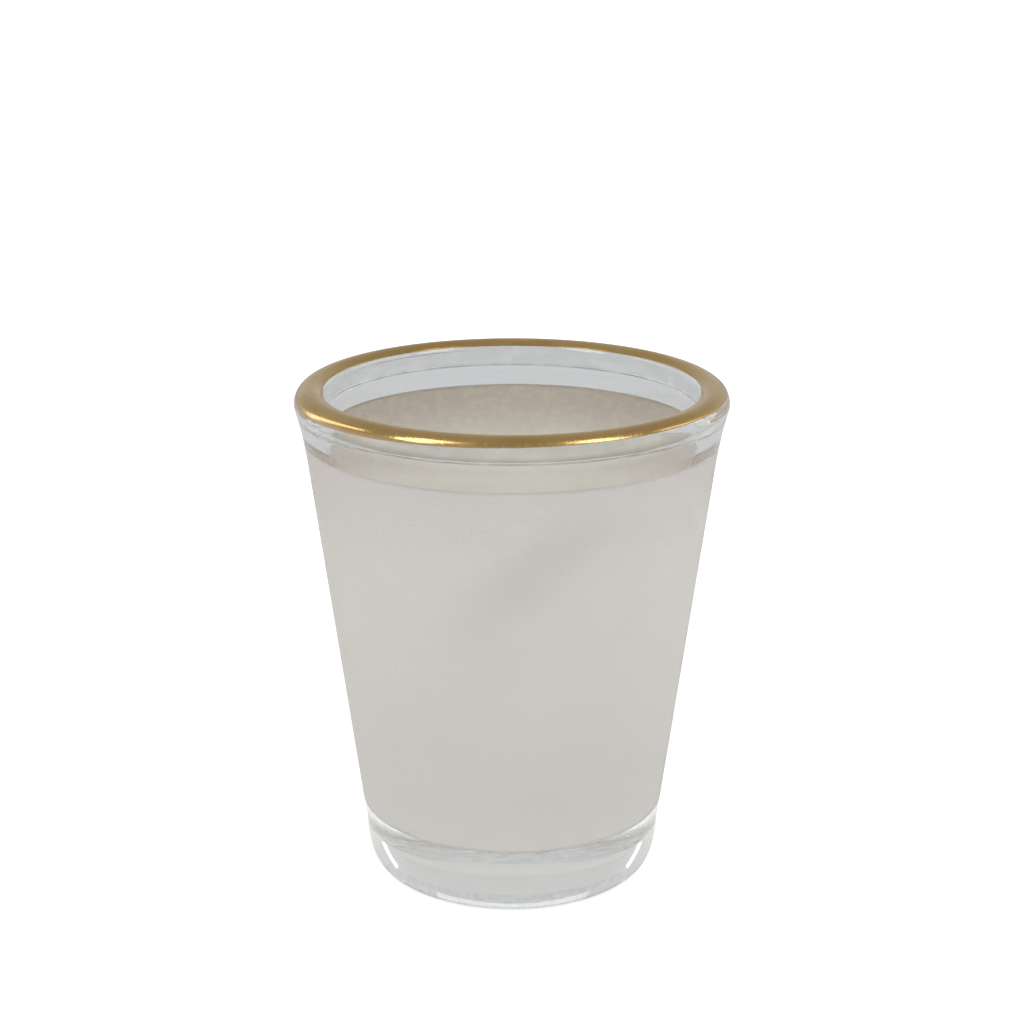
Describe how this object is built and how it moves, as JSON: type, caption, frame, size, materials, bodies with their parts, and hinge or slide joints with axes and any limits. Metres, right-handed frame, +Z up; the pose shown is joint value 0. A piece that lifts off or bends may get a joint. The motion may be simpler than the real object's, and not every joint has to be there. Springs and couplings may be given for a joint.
{
  "type": "shot glass",
  "caption": "Tapered pressed-glass shot glass with a thick clear base, a flared round lip banded in gold and a frosted white coat on its outer wall.",
  "frame": {"origin": "centre of the base, in the plane of the ring that the glass stands on", "axes": "+Z up along the axis of the glass, from its base to its mouth; the glass is round, so +X and +Y are any two directions square to it"},
  "size_m": [0.0512, 0.0512, 0.0601],
  "materials": {
    "clear_glass": "fire-polished clear glass with slight waves and mould softness",
    "gold_lustre": "bright fired gold with fine brush lines round the rim",
    "frosted_coat": "satin translucent white coat, faintly speckled"
  },
  "bodies": {
    "root": {"glass_body": "clear_glass", "gold_rim": "gold_lustre", "frosted_coating": "frosted_coat"}
  },
  "joints": []
}
